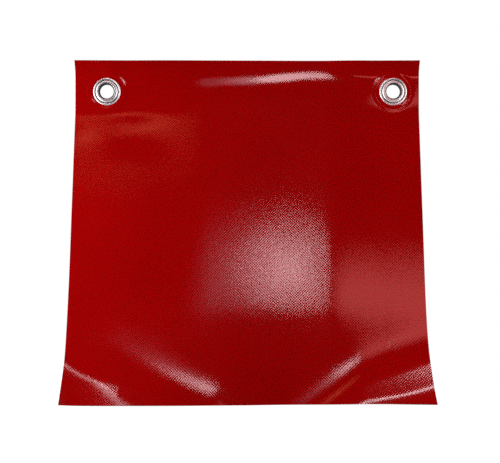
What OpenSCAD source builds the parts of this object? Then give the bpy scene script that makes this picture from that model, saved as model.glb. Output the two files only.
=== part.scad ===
// Fire blanket: a square of coated woven cloth with a clinched metal eyelet in
// each upper corner. The cloth is a laminate of a woven core between a front and
// a back coating. Each eyelet is a flanged barrel, put through the cloth from
// the front and rolled over a washer at the back.
// The origin is midway between the eyelet centres, halfway through the cloth.
// +X is to the viewer's right, +Y away from the viewer and +Z up.

/* [Sheet] */
// Width of the sheet
sheet_w = 300; // [260:1:400]
// Cut length of the sheet, measured along the cloth from top edge to bottom edge
sheet_l = 300; // [295:1:400]
// Thickness of the woven core
core_t = 0.4; // [0.3:0.05:0.6]
// Thickness of the coating on each face of the core
coat_t = 0.2; // [0.1:0.05:0.3]

/* [Set of the cloth] */
// Flat stretch above and below the eyelet line, where the flanges press
land_l = 12.5; // [12:0.5:16]
// Length of the bend that tips the top edge forward
lip_l = 8; // [5:0.5:12]
// Angle that the top edge tips forward
lip_angle = 26; // [0:1:35]
// Length of the bend just below the eyelets
shoulder_l = 17.5; // [10:0.5:30]
// Angle that the cloth kicks forward below the eyelets
shoulder_angle = 9.6; // [0:0.1:15]
// Length of the straight stretch down the middle
back_l = 105; // [60:1:110]
// Length of the slow curve under the middle
belly_l = 70; // [50:1:75]
// Angle gained along the slow curve
belly_angle = 6.4; // [0:0.1:12]
// Length of the bend that starts the bottom's forward sweep
knee_l = 26; // [16:1:28]
// Angle gained at that bend
knee_angle = 17.5; // [0:0.5:25]
// Length of the straight stretch under that bend
shin_l = 26; // [10:1:27]
// Angle gained along the last stretch, down to the bottom edge
foot_angle = 16.5; // [0:0.5:25]

/* [Eyelets] */
// Distance from the left edge to the left eyelet's centre
left_inset = 27.5; // [20:0.5:40]
// Distance from the right edge to the right eyelet's centre
right_inset = 22.5; // [20:0.5:40]
// Distance along the cloth from the top edge to the eyelet line
top_inset = 27.5; // [26:0.5:32]
// Radius of the clear hole through an eyelet
bore_r = 6; // [5:0.1:6.5]
// Radius of the front flange
flange_r = 12; // [11.5:0.1:12]
// Radius of the back washer
washer_r = 11.5; // [11:0.1:12]
// Thickness of the sheet metal
metal_t = 0.5; // [0.4:0.05:0.5]
// Height of the domed collar round the hole, above the cloth
dome_h = 2; // [1.9:0.05:2.2]
// Radius of the barrel's roll at the back
curl_r = 1.4; // [1.2:0.05:1.5]

/* [Hidden] */
$fn = 96;

sheet_t = core_t + 2 * coat_t;
eyelet_span = sheet_w - left_inset - right_inset;
left_edge_x = -eyelet_span / 2 - left_inset;
punch_gap = 0.1;                       // play between the barrel and the punched cloth
punch_r = bore_r + metal_t + punch_gap;

bend_step = 3;                         // largest turn between two stations of a bend
arc_steps = 8;                         // stations in a quarter turn of the pressed metal

dome_r = 1.8;                          // collar's round towards the hole
collar_r = 1.6;                        // collar's round towards the groove
collar_top = 0.4;                      // flat width between the two rounds
rim_r = 0.9;                           // front flange's rolled rim
washer_rim_r = 0.8;                    // washer's rolled rim

// Stretches of the cloth as [length, turn], from the eyelet line outwards.
up_run = [[land_l, 0], [lip_l, lip_angle], [top_inset - land_l - lip_l, 0]];
down_laid = [[land_l, 0], [shoulder_l, shoulder_angle], [back_l, 0],
             [belly_l, belly_angle], [knee_l, knee_angle], [shin_l, 0]];
foot_l = sheet_l - top_inset - total(down_laid);
down_run = concat(down_laid, [[foot_l, foot_angle]]);

function total(runs, i = 0) = i == len(runs) ? 0 : runs[i][0] + total(runs, i + 1);
function flip(list) = [for (i = [len(list) - 1 : -1 : 0]) list[i]];

// A station is [y, z, lean]. Lean is the angle from plumb, positive where the
// cloth comes forward as it leaves the eyelet line.
function stretch(from, length, turn) =
    let (steps = max(1, ceil(turn / bend_step)), radius = turn == 0 ? 0 : length / (turn * PI / 180))
    [for (i = [1 : steps]) let (lean = from[2] + turn * i / steps)
        turn == 0
            ? [from[0] - length * sin(lean), from[1] - length * cos(lean), lean]
            : [from[0] + radius * (cos(lean) - cos(from[2])),
               from[1] - radius * (sin(lean) - sin(from[2])), lean]];
function stations(runs, i = 0, from = [0, 0, 0]) =
    i == len(runs) ? []
    : let (part = stretch(from, runs[i][0], runs[i][1]))
      concat(part, stations(runs, i + 1, part[len(part) - 1]));

middle = concat([for (p = flip(stations(up_run))) [p[0], -p[1], -p[2]]],
                stations(down_run));

// The middle line moved towards the front by d.
function offset_line(d) = [for (p = middle) [p[0] - d * cos(p[2]), p[1] + d * sin(p[2])]];
function arc(centre, radius, from, to) =
    let (steps = max(2, round(arc_steps * abs(to - from) / 90)))
    [for (i = [0 : steps]) let (a = from + (to - from) * i / steps)
        centre + radius * [cos(a), sin(a)]];

// One layer of the laminate, between two distances in front of the middle.
module sheet_layer(back, front) {
    difference() {
        translate([left_edge_x, 0, 0]) rotate([90, 0, 90]) linear_extrude(sheet_w)
            polygon(concat(offset_line(front), flip(offset_line(back))));
        for (side = [-1, 1]) translate([side * eyelet_span / 2, 0, 0])
            rotate([90, 0, 0]) cylinder(h = 4 * sheet_t, r = punch_r, center = true);
    }
}

// Places a turned piece on an eyelet's axis, with its height 0 at the cloth's
// front face and its height growing towards the viewer.
module on_eyelet(side) {
    translate([side * eyelet_span / 2, -sheet_t / 2, 0]) rotate([90, 0, 0]) children();
}

// Barrel, front flange and back roll, pressed from one piece of sheet metal.
module eyelet_barrel() {
    curl_centre = [bore_r + curl_r, -sheet_t - metal_t];
    dome_centre = [bore_r + dome_r, dome_h - dome_r];
    collar_centre = [dome_centre[0] + collar_top, dome_h - collar_r];
    rim_centre = [flange_r - rim_r, 0];
    rim_start = 180 - asin(metal_t / rim_r);
    collar_end = asin((metal_t - collar_centre[1]) / collar_r);
    rotate_extrude() polygon(concat(
        arc(curl_centre, curl_r, 360, 180),
        arc(dome_centre, dome_r, 180, 90),
        arc(collar_centre, collar_r, 90, collar_end),
        arc(rim_centre, rim_r, rim_start, 0),
        arc(rim_centre, rim_r - metal_t, 0, 180),
        [[collar_centre[0] + collar_r - metal_t, 0]],
        arc(collar_centre, collar_r - metal_t, 0, 90),
        arc(dome_centre, dome_r - metal_t, 90, 180),
        arc(curl_centre, curl_r - metal_t, 180, 360)));
}

module eyelet_washer() {
    rim_centre = [washer_r - washer_rim_r, -sheet_t];
    rim_end = asin(metal_t / washer_rim_r) - 180;
    rotate_extrude() polygon(concat(
        [[punch_r, -sheet_t - metal_t], [punch_r, -sheet_t]],
        arc(rim_centre, washer_rim_r - metal_t, -180, 0),
        arc(rim_centre, washer_rim_r, 0, rim_end)));
}

module front_coating() { color([0.56, 0.01, 0.02]) sheet_layer(core_t / 2, core_t / 2 + coat_t); }
module woven_core() { color([0.30, 0.02, 0.02]) sheet_layer(-core_t / 2, core_t / 2); }
module back_coating() { color([0.50, 0.01, 0.02]) sheet_layer(-core_t / 2 - coat_t, -core_t / 2); }
module left_eyelet_barrel() { color([0.80, 0.80, 0.82]) on_eyelet(-1) eyelet_barrel(); }
module left_eyelet_washer() { color([0.74, 0.74, 0.76]) on_eyelet(-1) eyelet_washer(); }
module right_eyelet_barrel() { color([0.80, 0.80, 0.82]) on_eyelet(1) eyelet_barrel(); }
module right_eyelet_washer() { color([0.74, 0.74, 0.76]) on_eyelet(1) eyelet_washer(); }

front_coating();
woven_core();
back_coating();
left_eyelet_barrel();
left_eyelet_washer();
right_eyelet_barrel();
right_eyelet_washer();
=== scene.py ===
import math

import bmesh
import bpy
from mathutils import Matrix, Vector


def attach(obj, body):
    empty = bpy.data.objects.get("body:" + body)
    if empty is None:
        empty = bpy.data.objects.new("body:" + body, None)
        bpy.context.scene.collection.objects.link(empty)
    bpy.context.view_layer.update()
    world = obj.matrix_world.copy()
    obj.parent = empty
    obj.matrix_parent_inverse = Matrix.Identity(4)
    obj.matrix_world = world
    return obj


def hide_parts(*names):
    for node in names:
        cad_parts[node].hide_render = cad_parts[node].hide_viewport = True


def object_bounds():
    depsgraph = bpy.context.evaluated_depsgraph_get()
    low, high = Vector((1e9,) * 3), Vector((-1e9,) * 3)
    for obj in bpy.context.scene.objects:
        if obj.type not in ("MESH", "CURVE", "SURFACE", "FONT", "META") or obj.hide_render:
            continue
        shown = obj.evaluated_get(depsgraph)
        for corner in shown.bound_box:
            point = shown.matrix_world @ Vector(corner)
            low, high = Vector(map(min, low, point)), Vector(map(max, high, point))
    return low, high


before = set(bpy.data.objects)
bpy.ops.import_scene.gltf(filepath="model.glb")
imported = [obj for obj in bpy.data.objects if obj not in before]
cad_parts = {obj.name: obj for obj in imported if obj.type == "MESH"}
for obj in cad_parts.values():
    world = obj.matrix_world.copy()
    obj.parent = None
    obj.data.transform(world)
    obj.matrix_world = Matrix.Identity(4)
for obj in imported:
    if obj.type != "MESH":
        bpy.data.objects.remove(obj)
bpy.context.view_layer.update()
mm = 0.001
scene = bpy.context.scene
scene.view_settings.view_transform = "Standard"
# The denoiser smooths the weave away along with the noise. With it off the weave shows in
# the highlights, but the plain areas come out grainy, and that grain is noise, not cloth.
scene.cycles.use_denoising = False
print("frame loaded:", ", ".join(sorted(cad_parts)))


# Shader maths: a wrapped socket, so that expressions on it add their own nodes.
class Wire:
    def __init__(self, tree, socket=None):
        self.tree = tree
        self.socket = socket

    def node(self, kind, settings=None, inputs=None, output=0):
        made = self.tree.nodes.new(kind)
        for name, value in (settings or {}).items():
            setattr(made, name, value)
        for name, value in (inputs or {}).items():
            if isinstance(value, Wire):
                self.tree.links.new(value.socket, made.inputs[name])
            else:
                made.inputs[name].default_value = value
        return Wire(self.tree, made.outputs[output] if made.outputs else None)

    def other(self, output):
        return Wire(self.tree, self.socket.node.outputs[output])

    def maths(self, operation, *values):
        return self.node("ShaderNodeMath", {"operation": operation}, dict(enumerate(values)))

    def __add__(self, other):
        return self.maths("ADD", self, other)

    def __radd__(self, other):
        return self.maths("ADD", other, self)

    def __sub__(self, other):
        return self.maths("SUBTRACT", self, other)

    def __rsub__(self, other):
        return self.maths("SUBTRACT", other, self)

    def __mul__(self, other):
        return self.maths("MULTIPLY", self, other)

    def __rmul__(self, other):
        return self.maths("MULTIPLY", other, self)


def newMaterial(name):
    material = bpy.data.materials.new(name)
    material.use_nodes = True
    material.node_tree.nodes.clear()
    return material, Wire(material.node_tree)


def finishMaterial(tools, shader):
    tools.node("ShaderNodeOutputMaterial", {}, {"Surface": shader})


def mixColours(tools, factor, first, second):
    return tools.node("ShaderNodeMix", {"data_type": "RGBA"}, {0: factor, 6: first, 7: second}, 2)


# Goes smoothly from 0 at start to 1 at end.
def edgeOf(tools, value, start, end):
    return tools.node("ShaderNodeMapRange", {"interpolation_type": "SMOOTHSTEP"},
                      {"Value": value, "From Min": start, "From Max": end})


# The weave of the base cloth, pressed through the coating: a plain weave's crossings
# stand out by turns, so the raised ones run in diagonals. By the top edge, where the cloth
# is bent, they stand out less. flatRange, down from that edge, is where this fades out.
weave = {
    "yarnPitch": 1.15 * mm,
    "relief": 0.0085 * mm,
    "bentShare": 0.35,
    "flatRange": (18 * mm, 45 * mm),
}


def weaveHeight(tools):
    cloth = tools.node("ShaderNodeUVMap", {"uv_map": "cloth"})
    across = tools.node("ShaderNodeSeparateXYZ", {}, {0: cloth}, "X")
    along = across.other("Y")
    turn = math.pi / weave["yarnPitch"]
    warp = tools.maths("COSINE", across * turn)
    weft = tools.maths("COSINE", along * turn)
    flat = edgeOf(tools, along, *weave["flatRange"])
    return warp * weft, flat


coating = {
    "colour": (0.49, 0.0009, 0.0013, 1.0),
    "deepColour": (0.38, 0.0005, 0.0008, 1.0),
    "roughness": 0.05,
    "flatRoughness": 0.025,
    "roughnessSpread": 0.02,
    "ior": 1.45,
    "mottle": {"Scale": 14.0, "Detail": 3.0, "Roughness": 0.5},
    "peel": {"Scale": 900.0, "Detail": 2.0, "Roughness": 0.5},
    "peelShare": 0.05,
}


# Red coating with a gloss that wanders a little and the faint orange peel of a dipped skin.
def coatingMaterial():
    material, tools = newMaterial("red_coating")
    place = tools.node("ShaderNodeTexCoord", {}, {}, "Object")
    mottle = tools.node("ShaderNodeTexNoise", {}, {"Vector": place, **coating["mottle"]})
    peel = tools.node("ShaderNodeTexNoise", {}, {"Vector": place, **coating["peel"]})
    crossings, flat = weaveHeight(tools)
    height = crossings * (weave["bentShare"] + (1 - weave["bentShare"]) * flat)
    colour = mixColours(tools, mottle, coating["deepColour"], coating["colour"])
    bumped = tools.node("ShaderNodeBump", {}, {"Strength": 1.0, "Distance": weave["relief"],
                                               "Height": height + coating["peelShare"] * peel})
    wander = coating["roughnessSpread"] * (mottle - 0.5)
    rough = coating["roughness"] + coating["flatRoughness"] * flat + wander
    shader = tools.node("ShaderNodeBsdfPrincipled", {}, {"Base Color": colour, "Roughness": rough,
                                                         "IOR": coating["ior"], "Normal": bumped})
    finishMaterial(tools, shader)
    return material


core = {
    "deepColour": (0.020, 0.002, 0.002, 1.0),
    "colour": (0.075, 0.006, 0.006, 1.0),
    "roughness": 0.85,
    "fibre": {"Scale": 2500.0, "Detail": 2.0},
    "fibreShare": 0.5,
}


def coreMaterial():
    material, tools = newMaterial("woven_core_cloth")
    crossings = weaveHeight(tools)[0]
    place = tools.node("ShaderNodeTexCoord", {}, {}, "Object")
    fibre = tools.node("ShaderNodeTexNoise", {}, {"Vector": place, **core["fibre"]})
    colour = mixColours(tools, fibre, core["deepColour"], core["colour"])
    bumped = tools.node("ShaderNodeBump", {}, {"Strength": 1.0, "Distance": weave["relief"],
                                               "Height": crossings + core["fibreShare"] * fibre})
    shader = tools.node("ShaderNodeBsdfPrincipled", {}, {"Base Color": colour, "Roughness": core["roughness"],
                                                         "Normal": bumped})
    finishMaterial(tools, shader)
    return material


# The sheet is cut flat as a thin slab in cloth coordinates, punched, and then draped.
sheet = {
    "width": 300 * mm,
    "length": 300 * mm,
    "leftInset": 27.5 * mm,
    "rightInset": 22.5 * mm,
    "topInset": 27.5 * mm,
    "coreThickness": 0.4 * mm,
    "coatThickness": 0.2 * mm,
    "punchRadius": 6.6 * mm,
    "cell": 1.5 * mm,
    "sharpAngle": 1.0,
}

eyeletX = (sheet["width"] - sheet["leftInset"] - sheet["rightInset"]) / 2
leftEdge = -eyeletX - sheet["leftInset"]
middleX = leftEdge + sheet["width"] / 2


def ramp(value, start, end):
    return min(1.0, max(0.0, (value - start) / (end - start)))


def ease(value, start, end):
    t = ramp(value, start, end)
    return t * t * (3 - 2 * t)


def swell(value, centre, spread):
    return math.exp(-((value - centre) / spread) ** 2)


# How the cloth hangs: flat over the seats about the eyelets, and freer between them, where
# it is called the lip. Its top edge curls forward in both. Leans are in degrees from
# plumb. Heights are in mm below the eyelet line, but above it in edgeCurlRange. Places
# across go from -1 at the left edge to 1 at the right. A seat and a range are each a start
# and an end, and any other pair is a centre and a spread. Past stiffLean the cloth takes
# only stiffShare of any further lean.
hanging = {
    "leftSeat": (0.22, 0.72),
    "rightSeat": (0.45, 0.78),
    "seatLean": 9.8,
    "seatRange": (9, 26),
    "seatSwells": ((92, 30), (34, 15)),
    "edgeCurl": 26,
    "edgeCurlRange": (12, 21),
    "lipLean": 7.0,
    "lipGain": 2.9,
    "lipGainRange": (4, 92),
    "lipCurl": 0.38,
    "lipCurlTop": -0.6,
    "lipEase": 1.0,
    "lipEaseRange": (182, 204),
    "foldShift": 3.5,
    "foldLeft": (-0.33, 0.25),
    "foldRight": (0.37, 0.2),
    "dentLean": 3.2,
    "dentPlace": (-0.66, 0.17),
    "dentOut": (20, 9),
    "dentBack": (48, 12),
    "dentBackShare": 0.75,
    "cornerLean": 1.2,
    "cornerPlace": (-1, 0.1),
    "cornerOut": (31, 12),
    "sweepRange": (135, 206),
    "stiffLean": 34,
    "stiffShare": 0.25,
}

# The forward curl of the lower part. The sweep leans the sides more than the middle. The
# turn then begins at the knee and the toe at the toe line, both higher toward the corner.
leftCurl = {
    "sweep": 6.2,
    "knee": 231,
    "kneeSlope": 34,
    "kneeSlopeEnd": -0.7,
    "kneeMiddle": 16,
    "kneeMiddleRange": (-0.2, 0),
    "reach": 60,
    "reachSlope": 18,
    "turn": 16,
    "toeLine": 272,
    "cornerRise": 52,
    "toe": 20,
    "toeReach": 45,
}
rightCurl = {
    "sweep": 1.4,
    "knee": 247,
    "kneeRise": 40,
    "kneeRiseRange": (0.2, 0.63),
    "kneeCornerRise": 11,
    "kneeCornerRange": (0.63, 1),
    "reach": 62,
    "reachSlope": -22,
    "turn": 18,
    "toeLine": 274.5,
    "toeLineRise": 8,
    "toeLineRange": (0.3, 0.62),
    "cornerRise": 12,
    "toe": 30,
    "toeReach": 18,
}


# How far the cloth belongs to the flat seats, against the free cloth between them.
def seatShare(across):
    if across < 0:
        return ease(-across, *hanging["leftSeat"])
    return ease(across, *hanging["rightSeat"])


def seatLean(down):
    h = hanging
    lean = h["seatLean"] * ease(down, *h["seatRange"]) - h["edgeCurl"] * ramp(-down, *h["edgeCurlRange"])
    return lean + sum(swell(down, *pair) for pair in h["seatSwells"])


def lipLean(across, down):
    h = hanging
    shift = h["foldShift"] * (swell(across, *h["foldLeft"]) - swell(across, *h["foldRight"]))
    gain = 1 - (1 - ramp(down, *h["lipGainRange"])) ** 2
    curl = max(0.0, h["lipCurlTop"] - down + shift)
    lean = h["lipLean"] + h["lipGain"] * gain - h["lipCurl"] * curl
    return lean - h["lipEase"] * ease(down, *h["lipEaseRange"])


# Ripples by the left eyelet, where the cloth is drawn toward the corner.
def rippleLean(across, down):
    h = hanging
    dent = swell(down, *h["dentOut"]) - h["dentBackShare"] * swell(down, *h["dentBack"])
    corner = swell(across, *h["cornerPlace"]) * swell(down, *h["cornerOut"])
    return h["dentLean"] * swell(across, *h["dentPlace"]) * dent + h["cornerLean"] * corner


def curlLean(across, down):
    if across < 0:
        c = leftCurl
        knee = c["knee"] + c["kneeSlope"] * max(c["kneeSlopeEnd"], across)
        knee += c["kneeMiddle"] * ease(across, *c["kneeMiddleRange"])
        toeLine = c["toeLine"]
    else:
        c = rightCurl
        knee = c["knee"] - c["kneeRise"] * ramp(across, *c["kneeRiseRange"])
        knee -= c["kneeCornerRise"] * ramp(across, *c["kneeCornerRange"])
        toeLine = c["toeLine"] - c["toeLineRise"] * ramp(across, *c["toeLineRange"])
    toeLine -= c["cornerRise"] * across ** 4
    reach = c["reach"] + c["reachSlope"] * across
    lean = c["sweep"] * across ** 2 * ramp(down, *hanging["sweepRange"])
    lean += c["turn"] * ramp(down, knee, knee + reach) ** 2
    return lean + c["toe"] * ramp(down, toeLine, toeLine + c["toeReach"])


# Lean of the cloth, positive where it comes forward going down.
def leanAt(across, down):
    lip = lipLean(across, down)
    lean = lip + (seatLean(down) - lip) * seatShare(across)
    lean += rippleLean(across, down) + curlLean(across, down)
    over = max(0.0, lean - hanging["stiffLean"])
    return lean - (1 - hanging["stiffShare"]) * over


# The stretch and the takes correct each column's length a little, for ripples finer than
# the model. Proud is how far the free cloth stands in front of the seats, flare widens
# the lower right corner, and imprint is the low ring pressed up round a clinched eyelet.
drape = {
    "columns": 80,
    "rows": 240,
    "stretch": 1.003,
    "middleTake": 0.016,
    "rightTake": 0.006,
    "rightTakeRange": (0, 0.5),
    "proud": 1.3 * mm,
    "flare": 3.2 * mm,
    "flareStart": 0.65,
    "imprint": 0.42 * mm,
    "imprintRadius": 15.5 * mm,
    "imprintWidth": 1.7 * mm,
}


# Adds up each column's lean into places, from the eyelet line up and down.
def drapeTable():
    table = []
    rows = drape["rows"]
    first = round(sheet["topInset"] / sheet["length"] * rows)
    for column in range(drape["columns"] + 1):
        across = -1 + 2 * column / drape["columns"]
        take = drape["middleTake"] * (1 - across * across)
        take += drape["rightTake"] * ramp(across, *drape["rightTakeRange"])
        step = sheet["length"] / rows * (drape["stretch"] - take)
        free = 1 - seatShare(across)
        points = {first: (-drape["proud"] * free, 0.0)}
        for direction in (-1, 1):
            y, z = points[first]
            row = first
            while 0 <= row + direction <= rows:
                down = ((row + direction / 2) * step - sheet["topInset"]) / mm
                lean = math.radians(leanAt(across, down))
                y -= direction * step * math.sin(lean)
                z -= direction * step * math.cos(lean)
                row += direction
                points[row] = (y, z)
        table.append([points[row] for row in range(rows + 1)])
    return table


hang = drapeTable()
draped = {}


def middleSurface(x, s):
    column = (x - leftEdge) / sheet["width"] * drape["columns"]
    row = s / sheet["length"] * drape["rows"]
    i = min(drape["columns"] - 1, max(0, int(column)))
    j = min(drape["rows"] - 1, max(0, int(row)))
    a, b = column - i, row - j
    corners = [hang[i][j], hang[i + 1][j], hang[i][j + 1], hang[i + 1][j + 1]]
    shares = [(1 - a) * (1 - b), a * (1 - b), (1 - a) * b, a * b]
    y = sum(c[0] * w for c, w in zip(corners, shares))
    z = sum(c[1] * w for c, w in zip(corners, shares))
    aside = max(0.0, (x - middleX) / (sheet["width"] / 2))
    below = ramp(s, drape["flareStart"] * sheet["length"], sheet["length"])
    return Vector((x + drape["flare"] * aside ** 3 * below ** 2, y, z))


# Puts a point of the flat slab, x across, s down and lift off its middle, onto the cloth.
def drapePoint(point):
    x, s, lift = point
    key = (round(x / mm, 3), round(s / mm, 3))
    if key not in draped:
        draped[key] = placeAndFront(x, s)
    here, front = draped[key]
    return here + front * lift


def placeAndFront(x, s):
    d = sheet["cell"]
    here = middleSurface(x, s)
    acrossWay = middleSurface(x + d, s) - middleSurface(x - d, s)
    downWay = middleSurface(x, s + d) - middleSurface(x, s - d)
    front = downWay.cross(acrossWay).normalized()
    if front.y > 0:
        front.negate()
    ring = min(math.hypot(x - side * eyeletX, s - sheet["topInset"]) for side in (-1, 1))
    here += front * drape["imprint"] * swell(ring, drape["imprintRadius"], drape["imprintWidth"])
    return here, front


def sheetLayer(name, back, front, material):
    bm = bmesh.new()
    cells = round(sheet["width"] / sheet["cell"])
    bmesh.ops.create_grid(bm, x_segments=cells, y_segments=cells, size=0.5)
    bmesh.ops.scale(bm, vec=(sheet["width"], sheet["length"], 1), verts=bm.verts)
    bmesh.ops.translate(bm, vec=(middleX, sheet["length"] / 2, front), verts=bm.verts)
    holes = [Vector((side * eyeletX, sheet["topInset"], front)) for side in (-1, 1)]
    punched = []
    for face in bm.faces:
        centre = face.calc_center_median()
        if min((centre - hole).length for hole in holes) < sheet["punchRadius"]:
            punched.append(face)
    bmesh.ops.delete(bm, geom=punched, context="FACES")
    for vert in bm.verts:
        for hole in holes:
            away = vert.co - hole
            if vert.is_boundary and away.length < 2 * sheet["punchRadius"]:
                vert.co = hole + away.normalized() * sheet["punchRadius"]
    uv = bm.loops.layers.uv.new("cloth")
    for face in bm.faces:
        face.smooth = True
        for loop in face.loops:
            loop[uv].uv = loop.vert.co.xy
    raised = bmesh.ops.extrude_face_region(bm, geom=bm.faces[:])
    lower = [g for g in raised["geom"] if isinstance(g, bmesh.types.BMVert)]
    bmesh.ops.translate(bm, vec=(0, 0, back - front), verts=lower)
    bmesh.ops.recalc_face_normals(bm, faces=bm.faces)
    for edge in bm.edges:
        if edge.calc_face_angle(0) > sheet["sharpAngle"]:
            edge.smooth = False
    for vert in bm.verts:
        vert.co = drapePoint(vert.co)
    bmesh.ops.recalc_face_normals(bm, faces=bm.faces)
    mesh = bpy.data.meshes.new(name)
    bm.to_mesh(mesh)
    bm.free()
    piece = bpy.data.objects.new(name, mesh)
    scene.collection.objects.link(piece)
    mesh.materials.append(material)
    return piece


halfCore = sheet["coreThickness"] / 2
coat = sheet["coatThickness"]
redCoating = coatingMaterial()
layers = {
    "front_coating": (halfCore, halfCore + coat, redCoating, "coating"),
    "woven_core": (-halfCore, halfCore, coreMaterial(), "core_cloth"),
    "back_coating": (-halfCore - coat, -halfCore, redCoating, "coating"),
}
for node, (back, front, material, slotName) in layers.items():
    layer = sheetLayer("sheet_" + node, back, front, material)
    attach(layer, "root")
    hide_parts(node)
print("sheet layers draped")


eyelet = {
    "bore": 6.0 * mm,
    "flange": 12.0 * mm,
    "washer": 11.5 * mm,
    "metal": 0.5 * mm,
    "domeHeight": 2.0 * mm,
    "domeRadius": 1.8 * mm,
    "collarRadius": 1.6 * mm,
    "collarFlat": 0.4 * mm,
    "rimRadius": 0.9 * mm,
    "washerRim": 0.8 * mm,
    "curl": 1.4 * mm,
    "arcSteps": 10,
    "turnSteps": 96,
    "weld": 0.001 * mm,
    "sharpAngle": 0.6,
}
sheetThickness = sheet["coreThickness"] + 2 * sheet["coatThickness"]


# A section is drawn with a vertex: a line extrudes it, an arc spins it about a centre.
class Pen:
    def __init__(self, bm, r, h):
        self.bm = bm
        self.vert = bm.verts.new((r, 0, h))
        self.start = self.vert

    def line(self, r, h):
        new = self.bm.verts.new((r, 0, h))
        self.bm.edges.new((self.vert, new))
        self.vert = new

    def arc(self, r, h, degrees):
        steps = max(2, round(eyelet["arcSteps"] * abs(degrees) / 90))
        swept = bmesh.ops.spin(self.bm, geom=[self.vert], cent=(r, 0, h), axis=(0, -1, 0),
                               angle=math.radians(degrees), steps=steps)
        self.vert = [g for g in swept["geom_last"] if isinstance(g, bmesh.types.BMVert)][0]

    def close(self):
        self.bm.edges.new((self.vert, self.start))


def barrelSection(bm):
    e = eyelet
    curlR, curlH = e["bore"] + e["curl"], -sheetThickness - e["metal"]
    domeR, domeH = e["bore"] + e["domeRadius"], e["domeHeight"] - e["domeRadius"]
    collarR, collarH = domeR + e["collarFlat"], e["domeHeight"] - e["collarRadius"]
    rimR = e["flange"] - e["rimRadius"]
    collarEnd = math.degrees(math.asin((e["metal"] - collarH) / e["collarRadius"]))
    rimStart = 180 - math.degrees(math.asin(e["metal"] / e["rimRadius"]))
    pen = Pen(bm, curlR + e["curl"], curlH)
    pen.arc(curlR, curlH, -180)
    pen.line(e["bore"], domeH)
    pen.arc(domeR, domeH, -90)
    pen.line(collarR, e["domeHeight"])
    pen.arc(collarR, collarH, -(90 - collarEnd))
    pen.line(rimR + e["rimRadius"] * math.cos(math.radians(rimStart)), e["metal"])
    pen.arc(rimR, 0, -rimStart)
    pen.line(e["flange"] - e["metal"], 0)
    pen.arc(rimR, 0, 180)
    pen.line(collarR + e["collarRadius"] - e["metal"], 0)
    pen.line(collarR + e["collarRadius"] - e["metal"], collarH)
    pen.arc(collarR, collarH, 90)
    pen.line(domeR, e["domeHeight"] - e["metal"])
    pen.arc(domeR, domeH, 90)
    pen.line(e["bore"] + e["metal"], curlH)
    pen.arc(curlR, curlH, 180)
    pen.close()


def washerSection(bm):
    e = eyelet
    faceH = -sheetThickness
    rimR = e["washer"] - e["washerRim"]
    rimEnd = 180 - math.degrees(math.asin(e["metal"] / e["washerRim"]))
    pen = Pen(bm, sheet["punchRadius"], faceH - e["metal"])
    pen.line(sheet["punchRadius"], faceH)
    pen.line(rimR - e["washerRim"] + e["metal"], faceH)
    pen.arc(rimR, faceH, 180)
    pen.line(e["washer"], faceH)
    pen.arc(rimR, faceH, -rimEnd)
    pen.close()


def turnedPiece(name, section, side, material):
    bm = bmesh.new()
    section(bm)
    bmesh.ops.spin(bm, geom=bm.verts[:] + bm.edges[:], cent=(0, 0, 0), axis=(0, 0, 1),
                   angle=2 * math.pi, steps=eyelet["turnSteps"], use_merge=True)
    bmesh.ops.remove_doubles(bm, verts=bm.verts, dist=eyelet["weld"])
    bmesh.ops.recalc_face_normals(bm, faces=bm.faces)
    bmesh.ops.rotate(bm, cent=(0, 0, 0), matrix=Matrix.Rotation(math.pi / 2, 3, "X"), verts=bm.verts)
    bmesh.ops.translate(bm, vec=(side * eyeletX, -sheetThickness / 2, 0), verts=bm.verts)
    for face in bm.faces:
        face.smooth = True
    for edge in bm.edges:
        if edge.calc_face_angle(0) > eyelet["sharpAngle"]:
            edge.smooth = False
    mesh = bpy.data.meshes.new(name)
    bm.to_mesh(mesh)
    bm.free()
    piece = bpy.data.objects.new(name, mesh)
    scene.collection.objects.link(piece)
    mesh.materials.append(material)
    return piece


plating = {
    "colour": (0.93, 0.92, 0.93, 1.0),
    "dullColour": (0.84, 0.84, 0.86, 1.0),
    # Painted shade: the inside of the bore is coloured near-black.
    "throatShadeColour": (0.035, 0.038, 0.042, 1.0),
    # Painted shade: the flange's groove is coloured dark.
    "grooveShadeColour": (0.12, 0.14, 0.13, 1.0),
    "roughness": 0.34,
    "satinRoughness": 0.28,
    "roughnessSpread": 0.08,
    "throatRoughness": 0.15,
    "throatRange": (7.5 * mm, 7.0 * mm),
    "grooveRadius": 9.95 * mm,
    "grooveRange": (0.6 * mm, 0.2 * mm),
    "bloom": {"Scale": 180.0, "Detail": 4.0},
    "grain": {"Scale": 3200.0, "Detail": 2.0},
    "grainStrength": 0.2,
    "grainDepth": 0.01 * mm,
}
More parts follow.
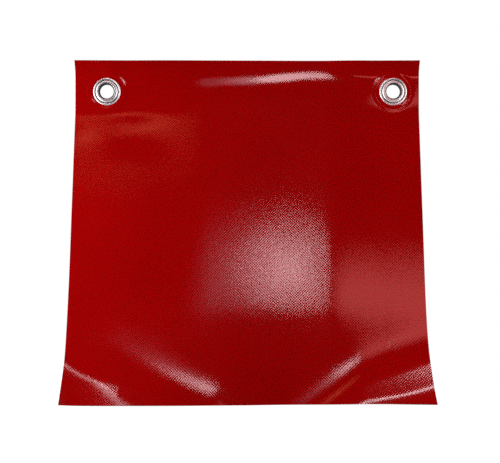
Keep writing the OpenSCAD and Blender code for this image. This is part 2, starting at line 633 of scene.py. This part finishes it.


# Plated brass, with painted shade in the flange's groove and a near-black painted shade inside the bore,
# whose drawn metal is also rougher.
def platedMaterial(name, roughness, colour):
    material, tools = newMaterial(name)
    place = tools.node("ShaderNodeTexCoord", {}, {}, "Object")
    across = tools.node("ShaderNodeSeparateXYZ", {}, {0: place}, "X")
    fromAxis = tools.maths("ABSOLUTE", across) - eyeletX
    radius = tools.maths("SQRT", fromAxis * fromAxis + across.other("Z") * across.other("Z"))
    fromGroove = tools.maths("ABSOLUTE", radius - plating["grooveRadius"])
    throat = edgeOf(tools, radius, *plating["throatRange"])
    groove = edgeOf(tools, fromGroove, *plating["grooveRange"])
    bloom = tools.node("ShaderNodeTexNoise", {}, {"Vector": place, **plating["bloom"]})
    grain = tools.node("ShaderNodeTexNoise", {}, {"Vector": place, **plating["grain"]})
    shade = mixColours(tools, bloom, plating["dullColour"], colour)
    # Painted shade in the flange's groove.
    shade = mixColours(tools, groove, shade, plating["grooveShadeColour"])
    # Painted shade inside the bore, near-black.
    shade = mixColours(tools, throat, shade, plating["throatShadeColour"])
    rough = roughness + plating["roughnessSpread"] * (bloom - 0.5) + plating["throatRoughness"] * throat
    bumped = tools.node("ShaderNodeBump", {}, {"Strength": plating["grainStrength"],
                                               "Distance": plating["grainDepth"], "Height": grain})
    shader = tools.node("ShaderNodeBsdfPrincipled", {}, {"Base Color": shade, "Metallic": 1.0,
                                                         "Roughness": rough, "Normal": bumped})
    finishMaterial(tools, shader)
    return material


brightPlate = platedMaterial("bright_plate", plating["roughness"], plating["colour"])
satinPlate = platedMaterial("satin_plate", plating["satinRoughness"], plating["dullColour"])
for side, word in ((-1, "left"), (1, "right")):
    for kind, section, material, slotName in (("barrel", barrelSection, brightPlate, "eyelet_metal"),
                                              ("washer", washerSection, satinPlate, "washer_metal")):
        node = word + "_eyelet_" + kind
        turned = turnedPiece("turned_" + node, section, side, material)
        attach(turned, "root")
        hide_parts(node)
print("eyelets turned")


camera = {
    "distance": 770 * mm,
    "height": -122.2 * mm,
    "lens": 63.43,
    "sensor": 36,
    "clipStart": 10 * mm,
}


def placeCamera():
    data = bpy.data.cameras.new("camera")
    data.lens = camera["lens"]
    data.sensor_width = camera["sensor"]
    data.clip_start = camera["clipStart"]
    item = bpy.data.objects.new("camera", data)
    item.location = (0, -camera["distance"], camera["height"])
    item.rotation_euler = (math.pi / 2, 0, 0)
    scene.collection.objects.link(item)
    scene.camera = item


# Elliptical softboxes and the glow of two coloured cards. Yaw, pitch and the angles that
# each fills, wide and high, are in degrees as seen from the point in over, or else from
# the sheet's middle. Away is the distance from that point, in metres.
softboxes = {
    "window": {
        "yaw": 3.1, "pitch": 17.3, "fills": (4.3, 4.6),
        "radiance": 13, "colour": (1.0, 0.74, 0.77),
    },
    "windowSide": {
        "yaw": 0.3, "pitch": 17.3, "fills": (2.6, 5.0),
        "radiance": 3.2, "colour": (1.0, 0.70, 0.78),
    },
    "windowEdge": {
        "yaw": -2.2, "pitch": 16.6, "fills": (4.0, 5.0),
        "radiance": 1.0, "colour": (1.0, 0.60, 0.70),
    },
    "redCard": {
        "yaw": 11.6, "pitch": 17.0, "fills": (13, 7),
        "radiance": 4.4, "colour": (1.0, 0.25, 0.23),
        "away": 0.95, "over": (0.12, -0.04, -0.19),
    },
    "brownCard": {
        "yaw": -10.2, "pitch": 28.2, "fills": (7.0, 3.6),
        "radiance": 4.0, "colour": (1.0, 0.19, 0.10),
    },
    "topLeft": {
        "yaw": -18, "pitch": 52, "fills": (34, 4),
        "radiance": 14, "colour": (1.0, 0.80, 0.84),
    },
    "topRight": {
        "yaw": 18, "pitch": 52, "fills": (34, 4),
        "radiance": 6.0, "colour": (1.0, 0.80, 0.84),
    },
    "left": {
        "yaw": -66, "pitch": 4, "fills": (42, 66),
        "radiance": 2.9, "colour": (1.0, 0.98, 0.96),
        "away": 0.42,
    },
    "right": {
        "yaw": 62, "pitch": 8, "fills": (34, 50),
        "radiance": 1.8, "colour": (1.0, 0.98, 0.96),
        "away": 0.5,
    },
}
sheetMiddle = (0, -0.02, -0.14)
farAway = 8.0


def placeSoftbox(name, box):
    away = box.get("away", farAway)
    yaw, pitch = math.radians(box["yaw"]), math.radians(box["pitch"])
    toLamp = Vector((math.sin(yaw) * math.cos(pitch), -math.cos(yaw) * math.cos(pitch), math.sin(pitch)))
    data = bpy.data.lights.new(name + "_softbox", "AREA")
    data.shape = "ELLIPSE"
    data.size, data.size_y = [2 * away * math.tan(math.radians(a / 2)) for a in box["fills"]]
    data.energy = box["radiance"] * math.pi * (math.pi / 4 * data.size * data.size_y)
    data.color = box["colour"]
    item = bpy.data.objects.new(name + "_softbox", data)
    item.location = Vector(box.get("over", sheetMiddle)) + toLamp * away
    item.rotation_euler = toLamp.to_track_quat("Z", "Y").to_euler()
    item.visible_camera = False
    scene.collection.objects.link(item)


white = (1.0, 1.0, 1.0, 1.0)

# The camera sees plain white all round. Reflections see white to the sides, behind and
# below, and in front and above a dark opening where only the softboxes stand. All else
# gets an even, dim fill. The edges of the opening are parts of a unit direction.
studio = {
    "shine": 1.1,
    "fill": 0.09,
    "asideEdge": (0.38, 0.62),
    "behindEdge": (0.45, 0.70),
    "belowEdge": (0.74, 0.86),
}


def makeWorld():
    world = bpy.data.worlds.new("studio")
    world.use_nodes = True
    world.node_tree.nodes.clear()
    tools = Wire(world.node_tree)
    path = tools.node("ShaderNodeLightPath", {}, {}, "Is Camera Ray")
    glossy = path.other("Is Glossy Ray")
    way = tools.node("ShaderNodeTexCoord", {}, {}, "Generated")
    across = tools.node("ShaderNodeSeparateXYZ", {}, {0: way}, "X")
    aside = edgeOf(tools, tools.maths("ABSOLUTE", across), *studio["asideEdge"])
    behind = edgeOf(tools, across.other("Y"), *studio["behindEdge"])
    below = edgeOf(tools, across.other("Z") * -1, *studio["belowEdge"])
    around = tools.maths("MAXIMUM", tools.maths("MAXIMUM", aside, behind), below)
    strength = studio["fill"] + (studio["shine"] * around - studio["fill"]) * glossy
    strength = strength + (1 - strength) * path
    shader = tools.node("ShaderNodeBackground", {}, {"Color": white, "Strength": strength})
    tools.node("ShaderNodeOutputWorld", {}, {"Surface": shader})
    scene.world = world


# A pale floor just under the sheet: nearly white to the camera, as bright as the studio to
# reflections and dim to all else, so that it throws next to no light up at the cloth.
floor = {
    "halfSide": 230 * mm,
    "cells": 8,
    "gap": 0.2 * mm,
    "glow": 0.95,
    "paint": (0.5, 0.5, 0.5, 1.0),
    "dimPaint": (0.05, 0.05, 0.05, 1.0),
}


def floorMaterial():
    material, tools = newMaterial("pale_floor")
    path = tools.node("ShaderNodeLightPath", {}, {}, "Is Camera Ray")
    glow = tools.node("ShaderNodeEmission", {}, {"Color": white, "Strength": floor["glow"]})
    matt = tools.node("ShaderNodeBsdfDiffuse", {}, {"Color": floor["paint"]})
    lit = tools.node("ShaderNodeAddShader", {}, {0: glow, 1: matt})
    dim = tools.node("ShaderNodeBsdfDiffuse", {}, {"Color": floor["dimPaint"]})
    shine = tools.node("ShaderNodeEmission", {}, {"Color": white, "Strength": studio["shine"]})
    unseen = tools.node("ShaderNodeMixShader", {}, {0: path.other("Is Glossy Ray"), 1: dim, 2: shine})
    finishMaterial(tools, tools.node("ShaderNodeMixShader", {}, {0: path, 1: unseen, 2: lit}))
    return material


def makeFloor():
    bm = bmesh.new()
    cells = floor["cells"]
    bmesh.ops.create_grid(bm, x_segments=cells, y_segments=cells, size=floor["halfSide"])
    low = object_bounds()[0].z
    bmesh.ops.translate(bm, vec=(0, 0, low - floor["gap"]), verts=bm.verts)
    mesh = bpy.data.meshes.new("floor")
    bm.to_mesh(mesh)
    bm.free()
    mesh.materials.append(floorMaterial())
    item = bpy.data.objects.new("floor", mesh)
    scene.collection.objects.link(item)


placeCamera()
for lampName, box in softboxes.items():
    placeSoftbox(lampName, box)
makeWorld()
makeFloor()
print("camera, lights and floor placed")
